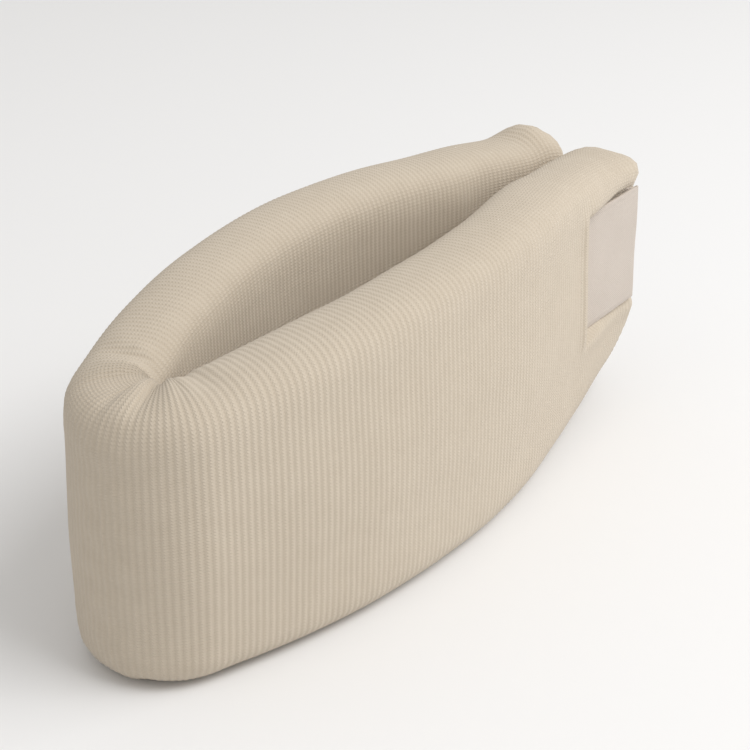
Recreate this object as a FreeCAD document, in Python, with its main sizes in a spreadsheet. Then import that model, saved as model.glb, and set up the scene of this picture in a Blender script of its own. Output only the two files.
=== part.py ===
"""Soft foam cervical collar, closed into a flattened ring and standing on its lower edge.

A foam strip in a knitted cover is folded in two at the chin. Its two halves bow apart, which leaves
the opening for the neck, and come together again at the closure. A hook strap is sewn to the rear half
there, goes round both ends of the strip and grips a loop pad on the front half.

Frame: +X along the folded strip from the chin fold to the closure, the front half towards -Y, +Z up.
The origin is at the middle of the collar's box, on the surface that its lower edge rests on.
All sizes are in millimetres.
"""
import FreeCAD, Part
import math
import os

import Sketcher
from FreeCAD import Placement, Rotation, Vector

doc = FreeCAD.newDocument("cervical_collar")

# ---------------------------------------------------------------- driving dimensions
DRIVING = {
    "strip_length": 252.0,      # folded strip, chin fold to closure
    "strip_thickness": 26.6,    # foam and cover
    "cover_wall": 0.8,          # knitted cover
    "half_gap": 0.2,            # each half's stand-off from the plane between the halves
    "opening_half": 17.0,       # half of the neck opening's width
    "opening_radius": 250.0,    # bow of each half's inner face, which starts at the crease
    "closure_blend": 220.0,     # bend from the bow into the closure
    "side_height": 95.25,       # the collar's nominal height, 3 3/4 in
    "side_peak_at": 142.0,      # from the chin fold to the upper edge's highest place
    "upper_edge_radius": 760.0,
    "upper_corner": 9.0,        # rounding of the upper corner at the closure
    "level_base": 115.0,        # from the chin fold to where the lower edge starts to rise
    "base_rise_radius": 700.0,
    "lower_corner": 24.0,       # rounding of the lower corner at the closure
    "edge_round": 7.0,          # rounding along the rims and round the closure ends
    "stock_height": 110.0,
    "hem_width": 3.0,           # sewn hem that closes each end of the cover
    "hem_depth": 1.6,
    "hem_bottom": 47.0,
    "hem_height": 25.0,
    "pad_start": 209.0,         # loop pad, from the chin fold
    "pad_bottom": 38.5,
    "pad_length": 32.0,
    "pad_height": 37.0,
    "pad_thickness": 1.2,
    "strap_bottom": 36.5,
    "strap_height": 41.0,
    "strap_thickness": 1.1,
    "strap_end_gap": 2.6,       # from the strip's end to the strap that goes round it
    "strap_bend": 4.0,
    "strap_base_start": 214.0,  # sewn end, from the chin fold
    "strap_sewn": 28.0,         # length of the sewn end inside its stitching
    "tab_start": 205.0,         # free end, from the chin fold
    "tab_corner": 4.0,
    "bed_margin": 2.0,          # round the strap, where it presses a flat bed into the foam
    "hook_start": 212.0,
    "hook_bottom": 42.0,
    "hook_length": 25.0,
    "hook_height": 30.0,
    "hook_thickness": 1.2,
    "tape_clearance": 0.3,      # between the hooks and the loops
    "knuckle_gap": 0.35,        # where the strap flexes
    "thread_width": 0.6,
    "thread_rise": 0.5,
    "stitch_inset": 1.2,
}
sheet = doc.addObject("Spreadsheet::Sheet", "dims")
for row, (alias, number) in enumerate(DRIVING.items(), start=1):
    sheet.set(f"A{row}", alias)
    sheet.set(f"B{row}", f"{number:g}")
    sheet.setAlias(f"B{row}", alias)
doc.recompute()


def dim(alias):
    """A driving dimension, read back from the sheet."""
    return float(getattr(sheet, alias))


LENGTH = dim("strip_length")
THICK = dim("strip_thickness")
GAP = dim("half_gap")


# ---------------------------------------------------------------- sketch helpers
def bind(sketch, kind, expression, *where):
    """Adds a sketch dimension at its present value and binds it to the sheet."""
    index = sketch.addConstraint(Sketcher.Constraint(kind, *where))
    sketch.renameConstraint(index, f"size{index}")
    sketch.setExpression(f"Constraints.size{index}", expression)


def sketch_on(body, role, name):
    """A sketch attached to one of the body's own origin planes."""
    sketch = body.newObject("Sketcher::SketchObject", name)
    plane = [f for f in body.Origin.OriginFeatures if f.Role == role][0]
    sketch.AttachmentSupport = (plane, [""])
    sketch.MapMode = "FlatFace"
    sketch.Visibility = False
    return sketch


def arc(centre, radius, start, end, clockwise=False):
    """An arc about centre from the point start to the point end."""
    first = math.atan2(start.y - centre.y, start.x - centre.x)
    last = math.atan2(end.y - centre.y, end.x - centre.x)
    if clockwise:
        first, last = last, first
    return Part.ArcOfCircle(Part.Circle(centre, Vector(0, 0, 1), radius), first, last)


def towards(a, b, along):
    """The point on the line from a to b that is along away from a."""
    step = b.sub(a)
    step.Length = along
    return a.add(step)


def join(sketch, pieces, clockwise, smooth):
    """Adds an outline's pieces and joins each to the next, smoothly where smooth says so."""
    sketch.addGeometry(pieces, False)
    for index in range(len(pieces)):
        following = (index + 1) % len(pieces)
        last = 1 if index in clockwise else 2
        first = 2 if following in clockwise else 1
        kind = "Tangent" if index in smooth else "Coincident"
        sketch.addConstraint(Sketcher.Constraint(kind, index, last, following, first))


# ---------------------------------------------------------------- one half of the strip
WIDTH, BOW, CLOSURE = dim("opening_half"), dim("opening_radius"), dim("closure_blend")
BOW_START = math.sqrt(WIDTH * (2 * BOW - WIDTH))                # crease to the bow's middle
BOW_END = math.sqrt(WIDTH * (2 * (CLOSURE + BOW) - WIDTH))      # bow's middle to the closure
MIDDLE_SIZE = "dims.strip_thickness+sqrt(dims.opening_half*(2*dims.opening_radius-dims.opening_half))"
CLOSURE_SIZE = MIDDLE_SIZE + (
    "+sqrt(dims.opening_half*(2*(dims.closure_blend+dims.opening_radius)-dims.opening_half))"
)


def plan_sketch(body, inset, shrink):
    """The front half seen from above: fold, crease, bow and closure."""
    middle = THICK + BOW_START
    end = middle + BOW_END
    inner, outer, far = -GAP - inset, -GAP - THICK + inset, LENGTH - inset
    closure_centre = Vector(end, -GAP - CLOSURE, 0)
    bow_centre = Vector(middle, BOW - GAP - WIDTH, 0)
    crease = Vector(THICK, -GAP, 0)
    fold_radius = THICK - inset
    fold = Vector(THICK - math.sqrt(fold_radius**2 - inset**2), inner, 0)
    reach = math.sqrt((BOW + inset) ** 2 - (bow_centre.y - inner) ** 2)
    inner_start = Vector(middle - reach, inner, 0)
    inner_end = towards(closure_centre, bow_centre, CLOSURE - inset)
    outer_end = towards(closure_centre, bow_centre, CLOSURE - THICK + inset)
    outer_start = towards(bow_centre, crease, BOW + THICK - inset)
    pieces = [
        Part.LineSegment(fold, inner_start),
        arc(bow_centre, BOW + inset, inner_start, inner_end),
        arc(closure_centre, CLOSURE - inset, inner_end, Vector(end, inner, 0), clockwise=True),
        Part.LineSegment(Vector(end, inner, 0), Vector(far, inner, 0)),
        Part.LineSegment(Vector(far, inner, 0), Vector(far, outer, 0)),
        Part.LineSegment(Vector(far, outer, 0), Vector(end, outer, 0)),
        arc(closure_centre, CLOSURE - THICK + inset, Vector(end, outer, 0), outer_end),
        arc(bow_centre, BOW + THICK - inset, outer_end, outer_start, clockwise=True),
        arc(crease, fold_radius, outer_start, fold, clockwise=True),
    ]
    sketch = sketch_on(body, "XY_Plane", body.Name + "_plan")
    join(sketch, pieces, clockwise={2, 7, 8}, smooth={1, 2, 5, 6, 7})
    sketch.addConstraint(Sketcher.Constraint("Vertical", 4))
    for index, expression in {
        1: f"dims.opening_radius+{shrink}",
        2: f"dims.closure_blend-{shrink}",
        6: f"dims.closure_blend-dims.strip_thickness+{shrink}",
        7: f"dims.opening_radius+dims.strip_thickness-{shrink}",
        8: f"dims.strip_thickness-{shrink}",
    }.items():
        bind(sketch, "Radius", expression, index, pieces[index].Radius)
    for index in (0, 3, 5):
        sketch.addConstraint(Sketcher.Constraint("Horizontal", index))
    for index, at, expression in (
        (0, inner, f"dims.half_gap+{shrink}"),
        (3, inner, f"dims.half_gap+{shrink}"),
        (5, outer, f"dims.half_gap+dims.strip_thickness-{shrink}"),
    ):
        bind(sketch, "DistanceY", expression, index, 1, -1, 1, -at)
    for index, point, at, expression in (
        (1, 3, middle, MIDDLE_SIZE),
        (3, 1, end, CLOSURE_SIZE),
        (3, 2, far, f"dims.strip_length-{shrink}"),
        (5, 2, end, CLOSURE_SIZE),
        (8, 3, THICK, "dims.strip_thickness"),
    ):
        bind(sketch, "DistanceX", expression, -1, 1, index, point, at)
    bind(sketch, "DistanceY", "dims.half_gap", 8, 3, -1, 1, GAP)
    return sketch


def cut_away(body, sketch, name):
    """Cuts the sketch right through the body, both ways."""
    pocket = body.newObject("PartDesign::Pocket", name)
    pocket.Profile = sketch
    pocket.Type = 1
    pocket.Midplane = True
    return pocket


def cut_upper_edge(body, inset, shrink):
    """Trims the upper edge to one long arc, rounded off at the closure."""
    top, peak = dim("side_height") - inset, dim("side_peak_at")
    radius, corner = dim("upper_edge_radius") - inset, dim("upper_corner") - inset
    far, roof, left = LENGTH - inset, dim("stock_height") + 10, -20.0
    centre = Vector(peak, top - radius, 0)
    corner_x = far - corner
    corner_centre = Vector(
        corner_x, centre.y + math.sqrt((radius - corner) ** 2 - (corner_x - peak) ** 2), 0
    )
    begin = Vector(left, centre.y + math.sqrt(radius**2 - (left - peak) ** 2), 0)
    meet = towards(centre, corner_centre, radius)
    last = Vector(far, corner_centre.y, 0)
    out = Vector(far + 8, last.y, 0)
    pieces = [
        arc(centre, radius, begin, meet, clockwise=True),
        arc(corner_centre, corner, meet, last, clockwise=True),
        Part.LineSegment(last, out),
        Part.LineSegment(out, Vector(out.x, roof, 0)),
        Part.LineSegment(Vector(out.x, roof, 0), Vector(left, roof, 0)),
        Part.LineSegment(Vector(left, roof, 0), begin),
    ]
    sketch = sketch_on(body, "XZ_Plane", body.Name + "_upper")
    join(sketch, pieces, clockwise={0, 1}, smooth={0})
    bind(sketch, "Radius", f"dims.upper_edge_radius-{shrink}", 0, radius)
    bind(sketch, "Radius", f"dims.upper_corner-{shrink}", 1, corner)
    bind(sketch, "DistanceX", "dims.side_peak_at", -1, 1, 0, 3, peak)
    bind(sketch, "DistanceY", "dims.upper_edge_radius-dims.side_height", 0, 3, -1, 1, -centre.y)
    bind(sketch, "DistanceX", "dims.strip_length-dims.upper_corner", -1, 1, 1, 3, corner_x)
    return cut_away(body, sketch, body.Name + "_upper_cut")


def cut_lower_edge(body, inset, shrink):
    """Trims the lower edge: level from the chin, then rising to a large corner at the closure."""
    level, rise, corner = dim("level_base"), dim("base_rise_radius"), dim("lower_corner")
    corner_x, floor, left = LENGTH - corner, -dim("stock_height") - 10, -20.0
    corner_centre = Vector(corner_x, rise - math.sqrt((rise - corner) ** 2 - (corner_x - level) ** 2), 0)
    centre = Vector(level, rise, 0)
    meet = towards(centre, corner_centre, rise - inset)
    last = Vector(LENGTH - inset, corner_centre.y, 0)
    out = Vector(LENGTH + 8, last.y, 0)
    pieces = [
        Part.LineSegment(Vector(left, inset, 0), Vector(level, inset, 0)),
        arc(centre, rise - inset, Vector(level, inset, 0), meet),
        arc(corner_centre, corner - inset, meet, last),
        Part.LineSegment(last, out),
        Part.LineSegment(out, Vector(out.x, floor, 0)),
        Part.LineSegment(Vector(out.x, floor, 0), Vector(left, floor, 0)),
        Part.LineSegment(Vector(left, floor, 0), Vector(left, inset, 0)),
    ]
    sketch = sketch_on(body, "XZ_Plane", body.Name + "_lower")
    join(sketch, pieces, clockwise=set(), smooth={0, 1})
    sketch.addConstraint(Sketcher.Constraint("Horizontal", 0))
    bind(sketch, "Radius", f"dims.base_rise_radius-{shrink}", 1, rise - inset)
    bind(sketch, "Radius", f"dims.lower_corner-{shrink}", 2, corner - inset)
    bind(sketch, "DistanceX", "dims.level_base", -1, 1, 1, 3, level)
    bind(sketch, "DistanceY", "dims.base_rise_radius", -1, 1, 1, 3, rise)
    bind(sketch, "DistanceX", "dims.strip_length-dims.lower_corner", -1, 1, 2, 3, corner_x)
    return cut_away(body, sketch, body.Name + "_lower_cut")


def strip_half(name, inset, shrink):
    """The front half as one solid, with every surface set in by inset."""
    body = doc.addObject("PartDesign::Body", name)
    pad = body.newObject("PartDesign::Pad", name + "_pad")
    pad.Profile = plan_sketch(body, inset, shrink)
    pad.Midplane = True
    pad.Length = 2 * dim("stock_height")
    pad.setExpression("Length", "2*dims.stock_height")
    cut_upper_edge(body, inset, shrink)
    base = cut_lower_edge(body, inset, shrink)
    doc.recompute()
    # Each rim is one smooth chain over the top, down the closure end and along the bottom.
    rims = body.newObject("PartDesign::Fillet", name + "_rims")
    rims.Base = (base, [
        end_edge(base.Shape, LENGTH - inset, at) for at in (-GAP - THICK + inset, -GAP - inset)
    ])
    rims.Radius = dim("edge_round") - inset
    rims.setExpression("Radius", f"dims.edge_round-{shrink}")
    doc.recompute()
    press_bed(body, rims, inset, shrink)
    return body


def press_bed(body, base, inset, shrink):
    """Flattens the outer face where the strap lies on it, which leaves a low lip round the strap."""
    margin = dim("bed_margin") + inset
    left, right = dim("tab_start") - margin, LENGTH + 8
    low, high = dim("strap_bottom") - margin, dim("strap_bottom") + dim("strap_height") + margin
    corners = [Vector(left, low, 0), Vector(right, low, 0), Vector(right, high, 0), Vector(left, high, 0)]
    sketch = sketch_on(body, "XZ_Plane", body.Name + "_bed")
    sides = [Part.LineSegment(a, b) for a, b in zip(corners, corners[1:] + corners[:1])]
    join(sketch, sides, clockwise=set(), smooth=set())
    for index, kind in enumerate(("Horizontal", "Vertical", "Horizontal", "Vertical")):
        sketch.addConstraint(Sketcher.Constraint(kind, index))
    outset = f"dims.bed_margin+{shrink}"
    bind(sketch, "DistanceX", f"dims.tab_start-({outset})", -1, 1, 0, 1, left)
    bind(sketch, "DistanceX", "dims.strip_length+8", -1, 1, 0, 2, right)
    bind(sketch, "DistanceY", f"dims.strap_bottom-({outset})", -1, 1, 0, 1, low)
    bind(sketch, "DistanceY", f"dims.strap_height+2*({outset})", 1, 1, 1, 2, high - low)
    sketch.AttachmentOffset = Placement(Vector(0, 0, GAP + THICK - inset), Rotation())
    sketch.setExpression("AttachmentOffset.Base.z", f"dims.half_gap+dims.strip_thickness-{shrink}")
    doc.recompute()
    before = base.Shape.Volume
    bed = body.newObject("PartDesign::Pocket", body.Name + "_bed_cut")
    bed.Profile = sketch
    bed.Type = 1
    bed.Reversed = True
    doc.recompute()
    if not 50 < before - bed.Shape.Volume < 6000:
        raise RuntimeError(f"the strap's bed removed {before - bed.Shape.Volume:.0f} mm3")
    return bed


def end_edge(shape, x, y):
    """The name of the closure end's upright edge at x, y."""
    for index, edge in enumerate(shape.Edges, start=1):
        points = [v.Point for v in edge.Vertexes]
        if len(points) == 2 and all(abs(p.x - x) < 0.01 and abs(p.y - y) < 0.01 for p in points):
            return f"Edge{index}"
    raise RuntimeError(f"no upright edge at {x}, {y}")


outside = strip_half("strip_outside", 0.0, "0")
foam_core_front = strip_half("foam_core_front", dim("cover_wall"), "dims.cover_wall")

cover_front = doc.addObject("Part::Cut", "cover_front")
cover_front.Base = outside
cover_front.Tool = foam_core_front


# ---------------------------------------------------------------- small straight pieces
def block(name, corner, size):
    """A box whose three corner coordinates and three sizes are expressions on the sheet."""
    box = doc.addObject("Part::Box", name)
    for axis, expression in zip("xyz", corner):
        box.setExpression(f"Placement.Base.{axis}", expression)
    for side, expression in zip(("Length", "Width", "Height"), size):
        box.setExpression(side, expression)
    return box


FRONT_FACE = "-dims.half_gap-dims.strip_thickness"
REAR_FACE = "dims.half_gap+dims.strip_thickness"
HALF_MIDDLE = "-dims.half_gap-dims.strip_thickness/2"

# Each end of the cover is gathered and sewn into a flat upright hem.
end_seam_front = block(
    "end_seam_front",
    ("dims.strip_length", f"{HALF_MIDDLE}-dims.hem_width/2", "dims.hem_bottom"),
    ("dims.hem_depth", "dims.hem_width", "dims.hem_height"),
)
end_seam_thread_front = block(
    "end_seam_thread_front",
    (
        "dims.strip_length+dims.hem_depth",
        f"{HALF_MIDDLE}-dims.thread_width/2",
        "dims.hem_bottom+dims.stitch_inset",
    ),
    ("dims.thread_rise", "dims.thread_width", "dims.hem_height-2*dims.stitch_inset"),
)

# Loop pad, sewn to the front half's outer face, and the seam round its border.
loop_pad = block(
    "loop_pad",
    ("dims.pad_start", f"{FRONT_FACE}-dims.pad_thickness", "dims.pad_bottom"),
    ("dims.pad_length", "dims.pad_thickness", "dims.pad_height"),
)


def thread_ring(name, start, face, rise, bottom, length, height):
    """A closed line of stitching on an upright face, stitch_inset inside the piece it holds."""
    outer = block(
        name + "_outer",
        (f"{start}+dims.stitch_inset", face, f"{bottom}+dims.stitch_inset"),
        (f"{length}-2*dims.stitch_inset", rise, f"{height}-2*dims.stitch_inset"),
    )
    lane = "(dims.stitch_inset+dims.thread_width)"
    inner = block(
        name + "_inner",
        (f"{start}+{lane}", face, f"{bottom}+{lane}"),
        (f"{length}-2*{lane}", rise, f"{height}-2*{lane}"),
    )
    ring = doc.addObject("Part::Cut", name)
    ring.Base = outer
    ring.Tool = inner
    return ring


loop_pad_stitching = thread_ring(
    "loop_pad_stitching", "dims.pad_start", f"{FRONT_FACE}-dims.pad_thickness-dims.thread_rise",
    "dims.thread_rise", "dims.pad_bottom", "dims.pad_length", "dims.pad_height",
)


# ---------------------------------------------------------------- hook strap
TAPE_FACE = (
    dim("half_gap") + THICK + dim("pad_thickness") + dim("tape_clearance") + dim("hook_thickness")
)
TAPE_FACE_SIZE = (
    "dims.half_gap+dims.strip_thickness+dims.pad_thickness+dims.tape_clearance+dims.hook_thickness"
)
STRAP = dim("strap_thickness")
STRAP_INSIDE = LENGTH + dim("strap_end_gap")


def strap_base():
    """The sewn end on the rear half and the span that goes round both ends of the strip."""
    body = doc.addObject("PartDesign::Body", "hook_strap_base")
    start, face, bend = dim("strap_base_start"), GAP + THICK, dim("strap_bend")
    stop = -(TAPE_FACE - dim("knuckle_gap"))
    x_in, x_out = STRAP_INSIDE, STRAP_INSIDE + STRAP
    centre = Vector(x_out - bend, face + STRAP - bend, 0)
    pieces = [
        Part.LineSegment(Vector(start, face, 0), Vector(centre.x, face, 0)),
        arc(centre, bend - STRAP, Vector(centre.x, face, 0), Vector(x_in, centre.y, 0), clockwise=True),
        Part.LineSegment(Vector(x_in, centre.y, 0), Vector(x_in, stop, 0)),
        Part.LineSegment(Vector(x_in, stop, 0), Vector(x_out, stop, 0)),
        Part.LineSegment(Vector(x_out, stop, 0), Vector(x_out, centre.y, 0)),
        arc(centre, bend, Vector(x_out, centre.y, 0), Vector(centre.x, face + STRAP, 0)),
        Part.LineSegment(Vector(centre.x, face + STRAP, 0), Vector(start, face + STRAP, 0)),
        Part.LineSegment(Vector(start, face + STRAP, 0), Vector(start, face, 0)),
    ]
    sketch = sketch_on(body, "XY_Plane", "strap_base_plan")
    join(sketch, pieces, clockwise={1}, smooth={0, 1, 4, 5})
    for index, kind in ((0, "Horizontal"), (2, "Vertical"), (3, "Horizontal"), (4, "Vertical"),
                        (6, "Horizontal"), (7, "Vertical")):
        sketch.addConstraint(Sketcher.Constraint(kind, index))
    bind(sketch, "Radius", "dims.strap_bend", 5, bend)
    bind(sketch, "DistanceX", "dims.strap_base_start", -1, 1, 0, 1, start)
    bind(sketch, "DistanceY", REAR_FACE, -1, 1, 0, 1, face)
    bind(sketch, "DistanceX", "dims.strip_length+dims.strap_end_gap", -1, 1, 2, 2, x_in)
    bind(sketch, "DistanceX", "dims.strap_thickness", 3, 1, 3, 2, STRAP)
    bind(sketch, "DistanceY", "dims.strap_thickness", 7, 2, 7, 1, STRAP)
    bind(sketch, "DistanceY", f"{TAPE_FACE_SIZE}-dims.knuckle_gap", 2, 2, -1, 1, -stop)
    sketch.AttachmentOffset = Placement(Vector(0, 0, dim("strap_bottom")), Rotation())
    sketch.setExpression("AttachmentOffset.Base.z", "dims.strap_bottom")
    pad = body.newObject("PartDesign::Pad", "strap_base_pad")
    pad.Profile = sketch
    pad.Length = dim("strap_height")
    pad.setExpression("Length", "dims.strap_height")
    return body


def strap_tab():
    """The free end over the loop pad, rounded where it flexes against the base."""
    body = doc.addObject("PartDesign::Body", "hook_strap_tab")
    left, right = dim("tab_start"), STRAP_INSIDE + STRAP
    low, high = dim("strap_bottom"), dim("strap_bottom") + dim("strap_height")
    corners = [Vector(left, low, 0), Vector(right, low, 0), Vector(right, high, 0), Vector(left, high, 0)]
    sketch = sketch_on(body, "XZ_Plane", "strap_tab_outline")
    join(
        sketch,
        [Part.LineSegment(a, b) for a, b in zip(corners, corners[1:] + corners[:1])],
        clockwise=set(), smooth=set(),
    )
    for index, kind in enumerate(("Horizontal", "Vertical", "Horizontal", "Vertical")):
        sketch.addConstraint(Sketcher.Constraint(kind, index))
    bind(sketch, "DistanceX", "dims.tab_start", -1, 1, 0, 1, left)
    bind(
        sketch, "DistanceX", "dims.strip_length+dims.strap_end_gap+dims.strap_thickness",
        -1, 1, 0, 2, right,
    )
    bind(sketch, "DistanceY", "dims.strap_bottom", -1, 1, 0, 1, low)
    bind(sketch, "DistanceY", "dims.strap_height", 1, 1, 1, 2, high - low)
    sketch.AttachmentOffset = Placement(Vector(0, 0, TAPE_FACE), Rotation())
    sketch.setExpression("AttachmentOffset.Base.z", TAPE_FACE_SIZE)
    pad = body.newObject("PartDesign::Pad", "strap_tab_pad")
    pad.Profile = sketch
    pad.Length = STRAP
    pad.setExpression("Length", "dims.strap_thickness")
    doc.recompute()
    corner = body.newObject("PartDesign::Fillet", "strap_tab_corners")
    corner.Base = (pad, edges_along(pad.Shape, 1, left))
    corner.Radius = dim("tab_corner")
    corner.setExpression("Radius", "dims.tab_corner")
    doc.recompute()
    knuckle = body.newObject("PartDesign::Fillet", "strap_tab_knuckle")
    knuckle.Base = (corner, edges_along(corner.Shape, 2, right))
    knuckle.Radius = 0.49 * STRAP
    knuckle.setExpression("Radius", "0.49*dims.strap_thickness")
    return body


def edges_along(shape, axis, x):
    """Names of the straight edges at x that run along the axis (1 for Y, 2 for Z)."""
    names = []
    for index, edge in enumerate(shape.Edges, start=1):
        a, b = edge.Vertexes[0].Point, edge.Vertexes[-1].Point
        if abs(a.x - x) < 0.01 and abs(b.x - x) < 0.01 and abs(abs(b[axis] - a[axis]) - edge.Length) < 0.01:
            names.append(f"Edge{index}")
    return names


hook_strap_base = strap_base()
hook_strap_tab = strap_tab()

hook_patch = block(
    "hook_patch",
    ("dims.hook_start", f"-({TAPE_FACE_SIZE})", "dims.hook_bottom"),
    ("dims.hook_length", "dims.hook_thickness", "dims.hook_height"),
)

hook_strap_stitching = thread_ring(
    "hook_strap_stitching", "dims.strap_base_start", f"{REAR_FACE}+dims.strap_thickness",
    "dims.thread_rise", "dims.strap_bottom", "dims.strap_sewn", "dims.strap_height",
)


# ---------------------------------------------------------------- rear half
def mirrored(name, source):
    """The rear half's twin of a front piece."""
    twin = doc.addObject("Part::Mirroring", name)
    twin.Source = source
    twin.Normal = Vector(0, 1, 0)
    return twin


foam_core_rear = mirrored("foam_core_rear", foam_core_front)
cover_rear = mirrored("cover_rear", cover_front)
end_seam_rear = mirrored("end_seam_rear", end_seam_front)
end_seam_thread_rear = mirrored("end_seam_thread_rear", end_seam_thread_front)
doc.recompute()


# ---------------------------------------------------------------- check and write
NODES = [
    foam_core_front, cover_front, end_seam_front, end_seam_thread_front, loop_pad, loop_pad_stitching,
    foam_core_rear, cover_rear, end_seam_rear, end_seam_thread_rear, hook_strap_base,
    hook_strap_stitching, hook_strap_tab, hook_patch,
]
for thing in doc.Objects:
    if "Invalid" in thing.State or "Error" in thing.State:
        raise RuntimeError(f"{thing.Name} failed: {thing.State}")

whole = FreeCAD.BoundBox()
for node in NODES:
    if node.Shape.isNull() or not node.Shape.isValid() or len(node.Shape.Solids) != 1:
        raise RuntimeError(f"{node.Label} is not one valid solid")
    whole.add(node.Shape.optimalBoundingBox(False))

# The origin moves from the chin fold to the middle of the box, at the resting surface.
shift = Vector(-whole.Center.x, -whole.Center.y, -whole.ZMin)
os.makedirs("parts", exist_ok=True)
for node in NODES:
    shape = node.Shape.copy()
    shape.translate(shift)
    shape.exportStep(f"parts/{node.Label}.step")
    box = shape.optimalBoundingBox(False)
    print(
        f"{node.Label:24s} {shape.Volume:12.1f} mm3  x {box.XMin:8.2f} {box.XMax:8.2f}"
        f"  y {box.YMin:7.2f} {box.YMax:7.2f}  z {box.ZMin:6.2f} {box.ZMax:6.2f}"
    )
print("shift", shift, "size", whole.XLength, whole.YLength, whole.ZLength)
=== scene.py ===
"""Soft foam cervical collar in a ribbed knitted sleeve, standing closed on a pale table.

The pieces follow the order in which the collar is made: the foam strip, the knitted sleeve over it,
the sewn ends, the loop pad, the hook strap and its hooks. Lengths in the section comments are in
millimetres; the frame's own unit is the metre.
"""
import math

import bmesh
import bpy
import numpy as np
from mathutils import Matrix, Vector, noise


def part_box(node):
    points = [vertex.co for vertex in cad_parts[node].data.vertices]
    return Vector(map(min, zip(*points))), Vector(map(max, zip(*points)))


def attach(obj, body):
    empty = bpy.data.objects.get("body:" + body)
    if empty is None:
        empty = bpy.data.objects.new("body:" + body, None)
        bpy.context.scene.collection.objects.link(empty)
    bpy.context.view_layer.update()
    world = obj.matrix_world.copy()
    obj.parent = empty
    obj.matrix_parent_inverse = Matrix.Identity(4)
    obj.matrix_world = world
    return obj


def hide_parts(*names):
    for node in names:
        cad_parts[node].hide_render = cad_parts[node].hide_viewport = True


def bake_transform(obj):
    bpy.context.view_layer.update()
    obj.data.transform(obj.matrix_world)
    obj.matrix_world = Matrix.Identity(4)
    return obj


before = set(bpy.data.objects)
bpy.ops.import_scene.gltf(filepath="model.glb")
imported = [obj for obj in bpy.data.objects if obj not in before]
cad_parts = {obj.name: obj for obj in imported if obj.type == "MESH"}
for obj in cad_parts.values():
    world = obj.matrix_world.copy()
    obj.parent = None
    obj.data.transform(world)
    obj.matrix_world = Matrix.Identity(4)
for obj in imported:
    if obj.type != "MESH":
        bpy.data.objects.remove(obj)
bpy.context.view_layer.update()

# ------------------------------------------------------------------ foam strip
# One strip of 25 mm open-cell foam, die-cut with a low chin and rounded closure ends, folded in two
# at the chin. Each half bows away from the other round the neck and they meet again at the closure.

MM = 0.001
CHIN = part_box("cover_front")[0].x           # outer face of the chin fold
REACH = 252.0                               # folded length, fold to closure
SIDE_HEIGHT = 95.25
FOAM_THICK = 26.3                           # a half's thickness, sleeve included
PRESSED_GAP = 0.5                           # from each half to the plane between the halves
BOW_HALF, BOW_RADIUS = 17.0, 250.3          # neck opening: half width, and the bow of its faces
CLOSURE_BLEND = 219.7                       # bend from the bow into the closure
LEAN, LEAN_FROM, LEAN_TO = 4.8, 195.0, 247.0     # how far the inner faces part, and where
SLEEVE_DEPTH = 2.6                          # from the sleeve's surface in to the foam
CREASE = FOAM_THICK + PRESSED_GAP           # the fold's inner line
CREASE_TURN = math.acos(1 - BOW_HALF / (BOW_RADIUS - PRESSED_GAP))
BOW_MIDDLE = CREASE + (BOW_RADIUS - PRESSED_GAP) * math.sin(CREASE_TURN)
CLOSURE_TURN = math.acos(1 - BOW_HALF / (BOW_RADIUS + CLOSURE_BLEND))
BOW_END = BOW_MIDDLE + (BOW_RADIUS + CLOSURE_BLEND) * math.sin(CLOSURE_TURN)


def half_stations(step):
    """Inner and outer points of the front half in plan, from the closure end to the chin crease."""
    stations = []

    def bend(centre, inner, outer, first, last):
        count = max(2, round(abs(last - first) * max(inner, outer) / step))
        for turn in np.linspace(first, last, count, endpoint=False):
            ray = np.array((math.cos(turn), math.sin(turn)))
            stations.append((np.array(centre) + inner * ray, np.array(centre) + outer * ray))

    for x in np.linspace(REACH, BOW_END, round((REACH - BOW_END) / step), endpoint=False):
        stations.append(((x, -PRESSED_GAP), (x, -CREASE)))
    up, down = math.pi / 2, -math.pi / 2
    bend((BOW_END, -PRESSED_GAP - CLOSURE_BLEND), CLOSURE_BLEND, CLOSURE_BLEND - FOAM_THICK,
         up, up + CLOSURE_TURN)
    bend((BOW_MIDDLE, BOW_RADIUS - PRESSED_GAP - BOW_HALF), BOW_RADIUS, BOW_RADIUS + FOAM_THICK,
         down + CLOSURE_TURN, down - CREASE_TURN)
    return stations


def strip_stations(step):
    """Stations of the whole folded strip, and how far along the cloth each is from the chin."""
    front = half_stations(step)
    fan = list(np.arange(math.pi / 2 - CREASE_TURN, 0.11, -step / CREASE))
    close = [0.08, 0.045, 0.026, 0.014, 0.006]
    centre = np.array((CREASE, 0.0))
    for angle in fan + close:
        ray = -np.array((math.cos(angle), math.sin(angle)))
        front.append((centre + PRESSED_GAP * ray, centre + CREASE * ray))
    even = fan[-1] * CREASE + step * np.arange(len(front) - len(close) - 1, -1, -1)
    along = np.concatenate([even, np.array(close) * CREASE])
    rear = [((p[0], -p[1]), (q[0], -q[1])) for p, q in reversed(front)]
    middle = [((CREASE - PRESSED_GAP, 0.0), (0.0, 0.0))]
    return np.array(front + middle + rear, float), np.concatenate([-along, [0], along[::-1]])


def upper_edge(x):
    """Height of the strip's upper edge: low at the chin, highest at the sides."""
    corner, radius, peak = 7.0, 760.0, 142.0
    top = SIDE_HEIGHT - radius + np.sqrt(radius**2 - (np.clip(x, 0, REACH) - peak) ** 2)
    off = np.clip(x - (REACH - corner), 0, corner)
    return top - corner + np.sqrt(np.maximum(corner**2 - off**2, 0))


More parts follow.
